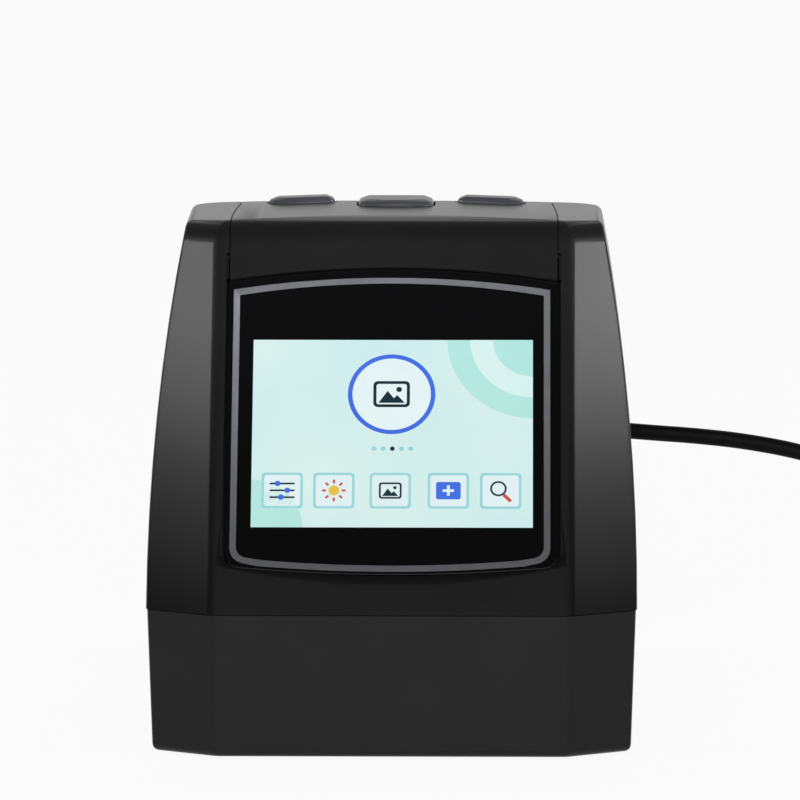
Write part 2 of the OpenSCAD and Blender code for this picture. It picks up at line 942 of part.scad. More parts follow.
sensor_z = camera_z - 1.2;
holder_w = 18;
holder_h = 9;
barrel_top = sensor_z - 3.5;
barrel_bottom = barrel_top - lens_l;
bracket_post_x = gate_w / 2 + 7;
bracket_posts = [
    for (x = [-bracket_post_x, bracket_post_x], y = [channel_y - 12, channel_y + 17]) [x, y]
];
guide_top = channel_z + channel_h;
bracket_top = camera_z - holder_h - 1;

module camera_board() {
    color("#1f5a35") difference() {
        translate([-15, channel_y - 12, camera_z])
            cube([30, 24, board_t]);
        for (x = [-12.5, 12.5])
            translate([x, channel_y, camera_z - 1])
                cylinder(h = board_t + 2, d = small_screw_d + 0.3);
    }
}

module image_sensor() {
    color("#3a3f55")
        translate([-5, channel_y - 4.5, sensor_z])
            cube([10, 9, camera_z - sensor_z]);
}

module lens_holder() {
    color("#161617")
        translate([0, channel_y, 0])
            difference() {
                union() {
                    translate([-holder_w / 2, -holder_w / 2, camera_z - holder_h])
                        cube([holder_w, holder_w, holder_h]);
                    for (x = [-12.5, 12.5])
                        translate([x, 0, camera_z - holder_h])
                            cylinder(h = holder_h, d = 5);
                    translate([-12.5, -2, camera_z - holder_h])
                        cube([25, 4, holder_h]);
                }
                translate([0, 0, camera_z - holder_h - 1])
                    cylinder(h = holder_h, d = lens_d + 0.1);
                translate([-6, -5.5, barrel_top + 0.5])
                    cube([12, 11, holder_h]);
                for (x = [-12.5, 12.5])
                    translate([x, 0, camera_z - 6])
                        cylinder(h = 7, d = small_screw_d - 0.3);
            }
}

module lens_barrel() {
    color("#0d0d0e")
        translate([0, channel_y, barrel_bottom])
            difference() {
                cylinder(h = lens_l, d = lens_d);
                translate([0, 0, -1])
                    cylinder(h = lens_l + 2, d = lens_d - 5);
                translate([0, 0, -1])
                    cylinder(h = 3.5, d = lens_d - 2.4);
                translate([0, 0, lens_l - 2.5])
                    cylinder(h = 3.5, d = lens_d - 2.4);
            }
}

// Front and rear glasses of the lens, each with one bulging face
module lens_glasses() {
    color("#9fb6c8")
        translate([0, channel_y, barrel_bottom])
            for (up = [0, 1])
                translate([0, 0, up ? lens_l : 0])
                    mirror([0, 0, up])
                        translate([0, 0, 0.6])
                            intersection() {
                                cylinder(h = 1.9, d = lens_d - 2.6);
                                translate([0, 0, 17])
                                    sphere(r = 17, $fn = 64);
                            }
}

module frustum(w0, d0, w1, d1, z0, z1) {
    hull() {
        translate([-w0 / 2, channel_y - d0 / 2, z0])
            cube([w0, d0, eps]);
        translate([-w1 / 2, channel_y - d1 / 2, z1 - eps])
            cube([w1, d1, eps]);
    }
}

hood_low = guide_top + guide_t;
hood_high = bracket_top - 2;

module lens_hood() {
    color("#111112") difference() {
        frustum(gate_w + 5, gate_d + 5, holder_w + 2, holder_w + 2, hood_low, hood_high);
        frustum(gate_w + 2.4, gate_d + 2.4, holder_w - 0.6, holder_w - 0.6,
            hood_low - eps, hood_high + eps);
    }
}

module camera_bracket() {
    color("#1b1b1c") difference() {
        union() {
            translate([-bracket_post_x - 3, channel_y - 15, hood_high])
                cube([2 * bracket_post_x + 6, 35, 2]);
            for (p = bracket_posts)
                translate([p.x, p.y, hood_low])
                    cylinder(h = hood_high + 1 - hood_low, d = 5);
            for (x = [-12.5, 12.5])
                translate([x, channel_y, hood_high + 1])
                    cylinder(h = camera_z - holder_h - hood_high - 1, d = 5);
        }
        translate([0, channel_y, hood_high - 1])
            cylinder(h = 4, d = lens_d + 0.6);
    }
}

// ---------- film channel and its light ----------

guide_legs = [
    for (x = [-1, 1], y = [-1, 1]) [x * (guide_half - 5), channel_y + y * (channel_half - 7)]
];
detent_x = 25;

module guide_upper() {
    color("#1d1d1e") difference() {
        translate([-guide_half, channel_y - channel_half - guide_t, guide_top])
            cube([2 * guide_half, channel_w + 2 * guide_t, guide_t]);
        translate([-gate_w / 2, channel_y - gate_d / 2, guide_top - 1])
            cube([gate_w, gate_d, 4]);
    }
}

module guide_lower() {
    color("#1d1d1e") difference() {
        union() {
            translate([-guide_half, channel_y - channel_half - guide_t, channel_z - guide_t])
                cube([2 * guide_half, channel_w + 2 * guide_t, channel_h + guide_t]);
            for (p = guide_legs)
                translate([p.x, p.y, floor_z + wall])
                    cylinder(h = channel_z - floor_z - wall - 0.5, d = 6);
        }
        translate([-far, channel_y - channel_half, channel_z])
            cube([2 * far, channel_w, far]);
        translate([-gate_w / 2, channel_y - gate_d / 2, channel_z - 4])
            cube([gate_w, gate_d, 8]);
        translate([detent_x - 5, channel_y + channel_half - 1, channel_z + 1.5])
            cube([10, 4, 4.5]);
    }
}

// Sprung strip with a rounded nose that clicks into the tray's notches
module film_detent() {
    color("#c8cacc")
        translate([detent_x, channel_y + channel_half + 0.3, channel_z + 1.7]) {
            translate([-4.8, 0, 0])
                cube([9.6, 0.4, 4.1]);
            difference() {
                translate([0, 0.4, 0])
                    cylinder(h = 4.1, r = 1.2);
                translate([-3, 0.4, -1])
                    cube([6, 3, 7]);
            }
        }
}

light_z = floor_z + wall + 1.6;
light_board_t = 1.2;
diffuser_t = 1.5;
diffuser_z = channel_z - guide_t - diffuser_t - 0.1;

module diffuser() {
    color("#f2f2ee")
        translate([-gate_w / 2 - 2, channel_y - gate_d / 2 - 2, diffuser_z])
            cube([gate_w + 4, gate_d + 4, diffuser_t]);
}

module light_box() {
    color("#e4e4e0")
        translate([0, channel_y, light_z + light_board_t])
            difference() {
                translate([-gate_w / 2 - 3.4, -gate_d / 2 - 3.4, 0])
                    cube([gate_w + 6.8, gate_d + 6.8, diffuser_z - 0.1 - light_z - light_board_t]);
                translate([-gate_w / 2 - 1.6, -gate_d / 2 - 1.6, -1])
                    cube([gate_w + 3.2, gate_d + 3.2, 20]);
            }
}

module light_board() {
    color("#f0efe6") {
        translate([-gate_w / 2 - 5, channel_y - gate_d / 2 - 4, light_z])
            cube([gate_w + 10, gate_d + 8, light_board_t]);
        for (x = [-1, 1], y = [-1, 1])
            translate([x * (gate_w / 2 + 2), channel_y + y * (gate_d / 2 + 1), floor_z + wall])
                cylinder(h = light_z - floor_z - wall + 0.2, d = 3);
    }
}

module light_leds() {
    color("#fff7d0")
        for (x = [-12, 0, 12], y = [-7, 7])
            translate([x - 1.75, channel_y + y - 1.4, light_z + light_board_t])
                cube([3.5, 2.8, 0.9]);
}

// ---------- feet and screws ----------

module rubber_feet() {
    color("#141414")
        for (p = foot_places)
            translate([p.x, p.y, 0])
                rotate_extrude()
                    polygon(concat(
                        [[0, 0], [foot_d / 2 - 0.4, 0], [foot_d / 2, 0.4]],
                        [[foot_d / 2, foot_h + 0.4], [0, foot_h + 0.4]]
                    ));
}

// A screw with its head down at z = 0 and its thread upwards; cross is the drive recess
module screw(d, l, head_d, head_t, cross) {
    difference() {
        union() {
            cylinder(h = head_t, d = head_d);
            cylinder(h = head_t + l, d = d);
        }
        for (a = [0, 90])
            rotate([0, 0, a])
                translate([-cross / 2, -cross / 8, -1])
                    cube([cross, cross / 4, 1 + head_t * 0.6]);
    }
}

module housing_screws() {
    color("#6d7074")
        for (p = screw_places)
            translate([p.x, p.y, screw_seat_z - screw_head_t])
                screw(screw_d - 0.4 - 0.1, screw_l, screw_head_d, screw_head_t, 3);
}

small_head_d = 2 * small_screw_d;
small_head_t = 1;

module small_screw(l) {
    screw(small_screw_d - 0.4, l, small_head_d, small_head_t, 1.8);
}

module small_screws() {
    color("#6d7074") {
        for (x = [-key_boss_x, key_boss_x])
            translate([x, key_boss_y, board_top - board_t - small_head_t])
                small_screw(5);
        for (p = board_posts)
            translate([p.x, board_y - small_head_t, p.y])
                rotate([-90, 0, 0])
                    small_screw(6);
        for (x = [-12.5, 12.5])
            translate([x, channel_y, camera_z + board_t + small_head_t])
                rotate([180, 0, 0])
                    small_screw(6);
        for (x = [-bracket_x, bracket_x], s = bracket_s)
            on_front(bracket_n - 0.8 - small_head_t)
                translate([x, s, 0])
                    small_screw(3);
    }
}

// ---------- plugs ----------

plug_start = board_y + board_t + port_l + 0.6;
plug_l = 16;
relief_l = 10;
relief_d = 6.4;
plug_end = plug_start + plug_l;

module device_plug_shell() {
    color("#c6c9cc")
        translate([port_x, plug_start, port_z])
            rotate([90, 0, 0])
                linear_extrude(height = 7)
                    polygon(rounded_rect(port_w - 1, port_h - 1.1, 0.5));
}

module device_plug() {
    color("#1a1a1b")
        translate([port_x, plug_start, port_z])
            rotate([-90, 0, 0]) {
                linear_extrude(height = plug_l)
                    polygon(rounded_rect(10.6, 7.4, 1.8));
                translate([0, 0, plug_l - 0.5])
                    cylinder(h = relief_l + 0.5, d1 = relief_d, d2 = cord_d + 1.2);
            }
}

// ---------- cord ----------

cord_start = plug_end + relief_l;
coil_mid = [138, 65.5];
coil_turns = 8.375;
coil_r = 20.5;
tie_t = 0.5;
coil_low = cord_d / 2 + tie_t + 0.05;
layer_step = 3.5;
turn_step = 3.5;
coil_layers = 4;
coil_top = coil_low + layer_step * (coil_layers - 1);

// Route of the free stretch: out of the plug, round to the right and down to the coil
cord_route = [
    [port_x, cord_start, port_z], [20, 71, 42.1], [20.8, 75.5, 42], [23.6, 80.2, 41.8],
    [28, 83.8, 41.5], [33.8, 85.7, 41.1], [40, 86, 40.7], [48, 86, 40.1], [57, 86, 39.4],
    [66, 86, 38.3], [76, 86, 36.3], [86, 86, 33.3], [96, 86, 29.4], [106, 86, 24.9],
    [116, 86, 20.2], [124, 86, 16.6], [130, 86, 14.3], [135, 86, 12.8],
    [coil_mid.x, coil_mid.y + coil_r, coil_top]
];

function unit(v) = v / norm(v);

// Ring of n points round p, across the direction dir
function ring(p, dir, r, n) =
    let (side = unit(cross(dir, [0, 0, 1])), up = cross(side, dir))
    [for (j = [0:n - 1]) p + r * (cos(360 * j / n) * side + sin(360 * j / n) * up)];

function heading(points, i) =
    let (last = len(points) - 1)
    unit(points[min(i + 1, last)] - points[max(i - 1, 0)]);

// One closed tube of n sides swept along points; first and last give the end directions
module tube(points, r, n, first, last) {
    count = len(points);
    rings = [
        for (i = [0:count - 1])
            each ring(points[i], i == 0 ? first : i == count - 1 ? last : heading(points, i), r, n)
    ];
    sides = [
        for (i = [0:count - 2], j = [0:n - 1])
            let (a = i * n + j, b = i * n + (j + 1) % n)
            each [[a, b, b + n], [a, b + n, a + n]]
    ];
    caps = [
        for (j = [1:n - 2])
            each [[0, j + 1, j], [(count - 1) * n, (count - 1) * n + j, (count - 1) * n + j + 1]]
    ];
    polyhedron(points = rings, faces = concat(sides, caps));
}

// Turned steadily inwards, then outwards, layer after layer from the top down; the spiral
// changes layer in the half turn round each reversal.
turns_per_layer = coil_turns / coil_layers;
climb = 0.25;

function layer_at(u) =
    let (
        k = floor(u / turns_per_layer),
        v = u - k * turns_per_layer,
        to_next = (v - (turns_per_layer - climb)) / (2 * climb),
        from_last = (v + climb) / (2 * climb)
    )
    v > turns_per_layer - climb && k < coil_layers - 1 ? k + to_next
        : v < climb && k > 0 ? k - 1 + from_last
        : k;

function inward_at(u) =
    let (k = floor(u / turns_per_layer), v = u - k * turns_per_layer)
    k % 2 == 0 ? v : turns_per_layer - v;

function coil_point(u) =
    let (r = coil_r - turn_step * inward_at(u), a = 90 - 360 * u)
    [coil_mid.x + r * cos(a), coil_mid.y + r * sin(a), coil_top - layer_step * layer_at(u)];

rings_per_turn = 24;
coil_rings = round(coil_turns * rings_per_turn);
coil_end_a = 90 - 360 * coil_turns;
tail_dir = [sin(coil_end_a), -cos(coil_end_a), 0];
coil_end = [
    coil_mid.x + coil_r * cos(coil_end_a), coil_mid.y + coil_r * sin(coil_end_a), coil_low
];
plug2_z = 4;

// Tail from the coil to the plug: along the table, then up to the middle of the plug
tail_rise = [[4, 0], [8, 0.1], [12, 0.5], [16, 1.1], [20, 1.6], [23, 1.85]];
tail_l = 28;
tail_points = concat(
    [for (q = tail_rise) coil_end + q[0] * tail_dir + [0, 0, q[1]]],
    [
        for (l = [tail_l - cord_d, tail_l])
            [coil_end.x, coil_end.y, plug2_z] + l * tail_dir
    ]
);
coil_points = concat(
    [for (i = [0:coil_rings - 1]) coil_point(i / rings_per_turn)],
    [coil_end],
    tail_points
);

// Least distance between turns that are at least half a turn apart along the coil
coil_gap = min([
    for (i = [0:len(coil_points) - 13], j = [i + 12:len(coil_points) - 1])
        norm(coil_points[i] - coil_points[j])
]) - cord_d;
echo(coil_gap = coil_gap);

module usb_cord() {
    color("#161617")
        tube(cord_route, cord_d / 2, 8, [0, 1, 0], [1, 0, 0]);
}

module cord_coil() {
    color("#161617")
        tube(coil_points, cord_d / 2, 6, [1, 0, 0], tail_dir);
}

tie_w = 5;
tie_clear = 0.25;
coil_inner = coil_r - turn_step * turns_per_layer;
tie_high = coil_top + cord_d / 2 + tie_clear;

// Flat band round the coil's left side
module coil_tie() {
    x0 = coil_inner - cord_d / 2 - tie_clear;
    x1 = coil_r + cord_d / 2 + tie_clear;
    color("#0f0f10")
        translate([coil_mid.x, coil_mid.y - tie_w / 2, 0])
            difference() {
                translate([-x1 - tie_t, 0, 0])
                    cube([x1 - x0 + 2 * tie_t, tie_w, tie_high + tie_t]);
                translate([-x1, -1, tie_t])
                    cube([x1 - x0, tie_w + 2, tie_high - tie_t]);
            }
}

// Frame at the far plug: Z along the plug, X across it, level with the table
module at_plug2() {
    translate([coil_end.x, coil_end.y, plug2_z] + tail_l * tail_dir)
        rotate([0, 0, atan2(tail_dir.y, tail_dir.x) - 90])
            rotate([-90, 0, 0])
                children();
}

plug2_l = 24;

module computer_plug() {
    color("#1a1a1b")
        at_plug2() {
            cylinder(h = relief_l + 0.5, d1 = cord_d + 1.2, d2 = relief_d);
            translate([0, 0, relief_l])
                linear_extrude(height = plug2_l)
                    polygon(rounded_rect(15.4, 8, 2.4));
        }
}

module computer_plug_shell() {
    color("#c6c9cc")
        at_plug2()
            translate([0, 0, relief_l + plug2_l])
                difference() {
                    linear_extrude(height = 12)
                        polygon(rounded_rect(12, 4.5, 0.4));
                    translate([-5.6, -1.85, 1])
                        cube([11.2, 1.9, 12]);
                }
}

base_housing();
upper_housing();
top_cover();
display_window();
lcd_module();
lcd_bracket();
key_left();
key_middle();
key_right();
plunger_left();
plunger_middle();
plunger_right();
key_switches();
key_board();
main_board();
main_chips();
usb_port();
card_slot();
camera_board();
image_sensor();
lens_holder();
lens_barrel();
lens_glasses();
lens_hood();
camera_bracket();
guide_upper();
guide_lower();
film_detent();
diffuser();
light_box();
light_board();
light_leds();
rubber_feet();
housing_screws();
small_screws();
device_plug_shell();
device_plug();
usb_cord();
cord_coil();
coil_tie();
computer_plug();
computer_plug_shell();
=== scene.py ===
import math

import bpy
from mathutils import Matrix, Vector


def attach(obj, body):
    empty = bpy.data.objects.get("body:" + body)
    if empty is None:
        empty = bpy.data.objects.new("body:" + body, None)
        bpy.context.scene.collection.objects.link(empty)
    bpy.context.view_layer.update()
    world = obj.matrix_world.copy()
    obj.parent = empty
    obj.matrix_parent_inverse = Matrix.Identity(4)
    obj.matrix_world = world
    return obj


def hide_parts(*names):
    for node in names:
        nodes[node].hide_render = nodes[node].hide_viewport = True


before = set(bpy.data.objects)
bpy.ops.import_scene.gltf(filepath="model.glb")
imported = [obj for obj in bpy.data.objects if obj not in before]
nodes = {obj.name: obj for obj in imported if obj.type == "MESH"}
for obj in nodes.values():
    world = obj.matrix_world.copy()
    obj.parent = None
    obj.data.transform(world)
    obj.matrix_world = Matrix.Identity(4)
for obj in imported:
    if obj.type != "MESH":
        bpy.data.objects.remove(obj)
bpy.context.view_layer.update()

# The scanner stands on z = 0 and faces -Y. Its places and sizes are written in millimetres,
# as on the construction drawing, and MM takes them to metres. Only the studio is in metres.
MM = 0.001
scene = bpy.context.scene


# ---------- camera ----------

CAMERA_PLACE = (20 * MM, -1348 * MM, 239.6 * MM)
CAMERA_PITCH = 0.134
CAMERA_YAW = 0.0141
CAMERA_LENS = 345.3
CAMERA_SENSOR = 36
CAMERA_NEAR = 0.05
CAMERA_FAR = 30


def photo_camera():
    """The camera that took the photo, fitted to the object's outline."""
    data = bpy.data.cameras.new("photo_camera")
    data.sensor_width = CAMERA_SENSOR
    data.lens = CAMERA_LENS
    data.clip_start = CAMERA_NEAR
    data.clip_end = CAMERA_FAR
    camera = bpy.data.objects.new("photo_camera", data)
    scene.collection.objects.link(camera)
    camera.location = CAMERA_PLACE
    camera.rotation_euler = (math.pi / 2 - CAMERA_PITCH, 0, CAMERA_YAW)
    scene.camera = camera


photo_camera()


# ---------- modelling helpers ----------

MERGE_GAP = 0.002
FLAT_ANGLE = math.radians(0.4)
SHARP_ANGLE = math.radians(34)
FACE_WEIGHT = 80


def deselect():
    if bpy.context.object and bpy.context.object.mode != "OBJECT":
        bpy.ops.object.mode_set(mode="OBJECT")
    bpy.ops.object.select_all(action="DESELECT")


def pick(piece):
    """Selects one piece alone and makes it the one that operators act on."""
    deselect()
    piece.select_set(True)
    bpy.context.view_layer.objects.active = piece


def edit(piece, mode="VERT"):
    pick(piece)
    bpy.ops.object.mode_set(mode="EDIT")
    bpy.ops.mesh.select_mode(type=mode)
    bpy.ops.mesh.select_all(action="DESELECT")


def select_faces(piece, test):
    """Selects the faces whose centre and normal pass the test, in edit mode."""
    bpy.ops.object.mode_set(mode="OBJECT")
    for face in piece.data.polygons:
        face.select = test(face.center, face.normal)
    bpy.ops.object.mode_set(mode="EDIT")


def settle(piece):
    """Puts a piece's place, turn and size into its mesh."""
    pick(piece)
    bpy.ops.object.transform_apply(location=True, rotation=True, scale=True)


def use_modifier(piece, kind, **settings):
    pick(piece)
    modifier = piece.modifiers.new(kind.lower(), kind)
    for key, value in settings.items():
        setattr(modifier, key, value)
    bpy.ops.object.modifier_apply(modifier=modifier.name)


def finish(piece, body, slot, material, *replaced):
    """Gives a piece its material and its body, and hides the nodes that it stands for; its slot
    is not used.
    """
    piece.data.materials.clear()
    piece.data.materials.append(material)
    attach(piece, body)
    if replaced:
        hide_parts(*replaced)


def merged_copy(node, name):
    """A copy of a node's mesh with its loose triangles joined into whole faces."""
    piece = bpy.data.objects.new(name, nodes[node].data.copy())
    scene.collection.objects.link(piece)
    edit(piece)
    bpy.ops.mesh.select_all(action="SELECT")
    bpy.ops.mesh.remove_doubles(threshold=MERGE_GAP * MM)
    bpy.ops.mesh.dissolve_limited(angle_limit=FLAT_ANGLE)
    bpy.ops.object.mode_set(mode="OBJECT")
    return piece


def soft_edges(piece, width):
    """Rounds a moulding's sharp edges and shades it with flat faces kept flat."""
    use_modifier(
        piece, "BEVEL", width=width * MM, segments=2, limit_method="ANGLE",
        angle_limit=SHARP_ANGLE, use_clamp_overlap=True, miter_outer="MITER_ARC",
    )
    pick(piece)
    bpy.ops.object.shade_smooth_by_angle(angle=SHARP_ANGLE)
    use_modifier(piece, "WEIGHTED_NORMAL", keep_sharp=True, weight=FACE_WEIGHT)


# ---------- materials ----------

# Most of a noise texture's values lie between these two levels.
NOISE_LOW = 0.3
NOISE_HIGH = 0.7
MOTTLE_SCALE = 90
MOTTLE_DARK = 0.86
MOTTLE_LIGHT = 1.14
MARKS_SCALE = 900
MARKS_DARK = 0.8
MARKS_UNEVEN = 0.07
DRIFT_LOW = 0.85
DRIFT_HIGH = 1.15
WEAVE_SCALE = 700


def new_material(name):
    material = bpy.data.materials.new(name)
    material.use_nodes = True
    tree = material.node_tree
    shader = tree.nodes["Principled BSDF"]
    place = tree.nodes.new("ShaderNodeTexCoord").outputs["Object"]
    return material, tree, shader, place


def noise(tree, place, scale, detail=2.0, roughness=0.5):
    node = tree.nodes.new("ShaderNodeTexNoise")
    node.inputs["Scale"].default_value = scale
    node.inputs["Detail"].default_value = detail
    node.inputs["Roughness"].default_value = roughness
    tree.links.new(place, node.inputs["Vector"])
    return node.outputs["Fac"]


def ramp(tree, value, low, high):
    """Takes a noise value from one colour to another."""
    node = tree.nodes.new("ShaderNodeValToRGB")
    node.color_ramp.elements[0].position = NOISE_LOW
    node.color_ramp.elements[0].color = (*low, 1)
    node.color_ramp.elements[1].position = NOISE_HIGH
    node.color_ramp.elements[1].color = (*high, 1)
    tree.links.new(value, node.inputs["Fac"])
    return node.outputs["Color"]


def spread(tree, value, low, high):
    """Takes a noise value from one number to another."""
    node = tree.nodes.new("ShaderNodeMapRange")
    node.inputs["From Min"].default_value = NOISE_LOW
    node.inputs["From Max"].default_value = NOISE_HIGH
    node.inputs["To Min"].default_value = low
    node.inputs["To Max"].default_value = high
    tree.links.new(value, node.inputs["Value"])
    return node.outputs["Result"]


def bump(tree, shader, height, strength, depth):
    node = tree.nodes.new("ShaderNodeBump")
    node.inputs["Strength"].default_value = strength
    node.inputs["Distance"].default_value = depth * MM
    tree.links.new(height, node.inputs["Height"])
    tree.links.new(node.outputs["Normal"], shader.inputs["Normal"])


def moulded_plastic(
    name, colour, roughness, grain=0.22, depth=0.012, strength=0.5, shine=0.17, uneven=0.05,
):
    """Moulded plastic with a spark-eroded grain and a faintly mottled colour; sizes in mm."""
    material, tree, shader, place = new_material(name)
    shader.inputs["Specular IOR Level"].default_value = shine
    mottle = noise(tree, place, MOTTLE_SCALE, 3)
    darker = [c * MOTTLE_DARK for c in colour]
    lighter = [c * MOTTLE_LIGHT for c in colour]
    tree.links.new(ramp(tree, mottle, darker, lighter), shader.inputs["Base Color"])
    fine = noise(tree, place, 1 / (grain * MM), 2, 0.6)
    rough = spread(tree, fine, roughness - uneven, roughness + uneven)
    tree.links.new(rough, shader.inputs["Roughness"])
    bump(tree, shader, fine, strength, depth)
    return material


def bright_metal(name, colour, roughness, brushed=(1, 1, 1)):
    """Plated or rolled metal with fine drawn marks along one axis."""
    material, tree, shader, place = new_material(name)
    shader.inputs["Metallic"].default_value = 1
    mapping = tree.nodes.new("ShaderNodeMapping")
    mapping.inputs["Scale"].default_value = brushed
    tree.links.new(place, mapping.inputs["Vector"])
    marks = noise(tree, mapping.outputs["Vector"], MARKS_SCALE, 3)
    darker = [c * MARKS_DARK for c in colour]
    tree.links.new(ramp(tree, marks, darker, colour), shader.inputs["Base Color"])
    rough = spread(tree, marks, roughness - MARKS_UNEVEN, roughness + MARKS_UNEVEN)
    tree.links.new(rough, shader.inputs["Roughness"])
    return material


def smooth_surface(name, low, high, roughness, scale=60, **sockets):
    """A smooth surface whose colour drifts a little between two tones."""
    material, tree, shader, place = new_material(name)
    drift = noise(tree, place, scale, 3)
    tree.links.new(ramp(tree, drift, low, high), shader.inputs["Base Color"])
    rough = spread(tree, drift, roughness * DRIFT_LOW, roughness * DRIFT_HIGH)
    tree.links.new(rough, shader.inputs["Roughness"])
    for socket, value in sockets.items():
        shader.inputs[socket.replace("_", " ")].default_value = value
    return material


def board_green():
    """Circuit board: green lacquer over a fine glass weave."""
    material, tree, shader, place = new_material("circuit_board")
    weave = tree.nodes.new("ShaderNodeTexBrick")
    weave.inputs["Scale"].default_value = WEAVE_SCALE
    weave.inputs["Color1"].default_value = (0.010, 0.085, 0.030, 1)
    weave.inputs["Color2"].default_value = (0.012, 0.105, 0.036, 1)
    weave.inputs["Mortar"].default_value = (0.020, 0.150, 0.055, 1)
    tree.links.new(place, weave.inputs["Vector"])
    tree.links.new(weave.outputs["Color"], shader.inputs["Base Color"])
    shader.inputs["Roughness"].default_value = 0.35
    return material


SHELL_BLACK = (0.0045, 0.0045, 0.0047)
BASE_BLACK = (0.0070, 0.0071, 0.0073)
KEY_BLACK = (0.024, 0.0245, 0.027)
CORD_BLACK = (0.0035, 0.0035, 0.004)

housing_plastic = moulded_plastic(
    "housing_plastic", SHELL_BLACK, 0.30, grain=0.30, depth=0.006, strength=0.2, uneven=0.022,
)
base_plastic = moulded_plastic(
    "base_plastic", BASE_BLACK, 0.34, grain=0.30, depth=0.006, strength=0.25, uneven=0.02,
)
key_plastic = moulded_plastic("key_plastic", KEY_BLACK, 0.34, grain=0.16, uneven=0.03)
inner_plastic = moulded_plastic("inner_plastic", (0.012, 0.012, 0.012), 0.6, grain=0.3)
guide_plastic = moulded_plastic("guide_plastic", (0.018, 0.018, 0.018), 0.55, grain=0.3)
plug_plastic = moulded_plastic("plug_plastic", (0.008, 0.008, 0.009), 0.48, grain=0.2)
cord_plastic = moulded_plastic("cord_plastic", CORD_BLACK, 0.5, grain=0.35, shine=0.05)
tie_plastic = moulded_plastic("tie_plastic", (0.009, 0.009, 0.010), 0.62, grain=0.5, depth=0.04)
foot_rubber = moulded_plastic("foot_rubber", (0.011, 0.011, 0.011), 0.78, grain=0.4, depth=0.03)
window_black = smooth_surface(
    "window_black", (0.0010, 0.0010, 0.0012), (0.0015, 0.0015, 0.0018), 0.10, 25,
    IOR=1.33,
)
window_grey = smooth_surface("window_grey", (0.140, 0.143, 0.154), (0.160, 0.163, 0.175), 0.5, 40)
steel_sheet = bright_metal("steel_sheet", (0.45, 0.46, 0.47), 0.35, (0.1, 1, 1))
port_metal = bright_metal("port_metal", (0.55, 0.55, 0.56), 0.3, (1, 0.1, 1))
plug_metal = bright_metal("plug_metal", (0.62, 0.62, 0.63), 0.24, (1, 0.1, 1))
switch_metal = bright_metal("switch_metal", (0.5, 0.51, 0.52), 0.32)
screw_steel = bright_metal("screw_steel", (0.36, 0.37, 0.38), 0.34)
circuit_board = board_green()
chip_black = smooth_surface("chip_black", (0.010, 0.010, 0.011), (0.016, 0.016, 0.017), 0.5, 300)
sensor_glass = smooth_surface("sensor_glass", (0.02, 0.03, 0.06), (0.03, 0.05, 0.05), 0.08, 80)
lens_glass = smooth_surface("lens_glass", (0.03, 0.02, 0.06), (0.02, 0.05, 0.05), 0.05, 60)
diffuser_white = smooth_surface("diffuser_white", (0.72, 0.74, 0.72), (0.80, 0.82, 0.80), 0.4, 50)
light_white = smooth_surface("light_white", (0.70, 0.70, 0.68), (0.78, 0.78, 0.76), 0.5, 70)
led_yellow = smooth_surface("led_yellow", (0.75, 0.55, 0.08), (0.82, 0.64, 0.12), 0.3, 400)
screen_dark = smooth_surface("screen_dark", (0.004, 0.004, 0.005), (0.006, 0.006, 0.007), 0.2, 50)

NODE_FINISH = {
    "lcd_module": screen_dark,
    "lcd_bracket": steel_sheet,
    "plunger_left": inner_plastic,
    "plunger_middle": inner_plastic,
    "plunger_right": inner_plastic,
    "key_switches": switch_metal,
    "key_board": circuit_board,
    "main_board": circuit_board,
    "main_chips": chip_black,
    "usb_port": port_metal,
    "card_slot": port_metal,
    "camera_board": circuit_board,
    "image_sensor": sensor_glass,
    "lens_holder": inner_plastic,
    "lens_barrel": inner_plastic,
    "lens_glasses": lens_glass,
    "lens_hood": inner_plastic,
    "camera_bracket": guide_plastic,
    "guide_upper": guide_plastic,
    "guide_lower": guide_plastic,
    "film_detent": steel_sheet,
    "diffuser": diffuser_white,
    "light_box": light_white,
    "light_board": circuit_board,
    "light_leds": led_yellow,
    "housing_screws": screw_steel,
    "small_screws": screw_steel,
}


def finish_nodes():
    for name, material in NODE_FINISH.items():
        mesh = nodes[name].data
        if not mesh.materials:
            mesh.materials.append(material)
        for i in range(len(mesh.materials)):
            mesh.materials[i] = material


finish_nodes()


# ---------- cord ----------

# The cord leaves the socket on the rear, sinks to the top of its coil, winds down through
# the layers and ends in the computer's plug.
CORD_D = 3.0
ROUTE = [
    (20, 67.4, 42.1), (20, 71, 42.1), (20.8, 75.5, 42), (23.6, 80.2, 41.8), (28, 83.8, 41.5),
    (33.8, 85.7, 41.1), (40, 86, 40.7), (48, 86, 40.1), (57, 86, 39.4), (66, 86, 38.3),
    (76, 86, 36.3), (86, 86, 33.3), (96, 86, 29.4), (106, 86, 24.9), (116, 86, 20.2),
    (124, 86, 16.6), (130, 86, 14.3), (135, 86, 12.8),
]
COIL_MID = (138, 65.5)
COIL_R = 20.5
COIL_TURNS = 8.375
COIL_LAYERS = 4
LAYER_STEP = 3.5
TURN_STEP = 3.5
COIL_TOP = 12.55
CLIMB = 0.25
TURNS_PER_LAYER = COIL_TURNS / COIL_LAYERS
POINTS_PER_TURN = 16
TAIL_RISE = [(4, 0), (8, 0.1), (12, 0.5), (16, 1.1), (20, 1.6), (23, 1.85)]
TAIL_L = 28
PLUG_Z = 4.0


def layer_at(u):
    """The layer that point u turns along the coil lies in, with a climb between two of them."""
    k = math.floor(u / TURNS_PER_LAYER)
    v = u - k * TURNS_PER_LAYER
    if v > TURNS_PER_LAYER - CLIMB and k < COIL_LAYERS - 1:
        return k + (v - (TURNS_PER_LAYER - CLIMB)) / (2 * CLIMB)
    if v < CLIMB and k > 0:
        return k - 1 + (v + CLIMB) / (2 * CLIMB)
    return k


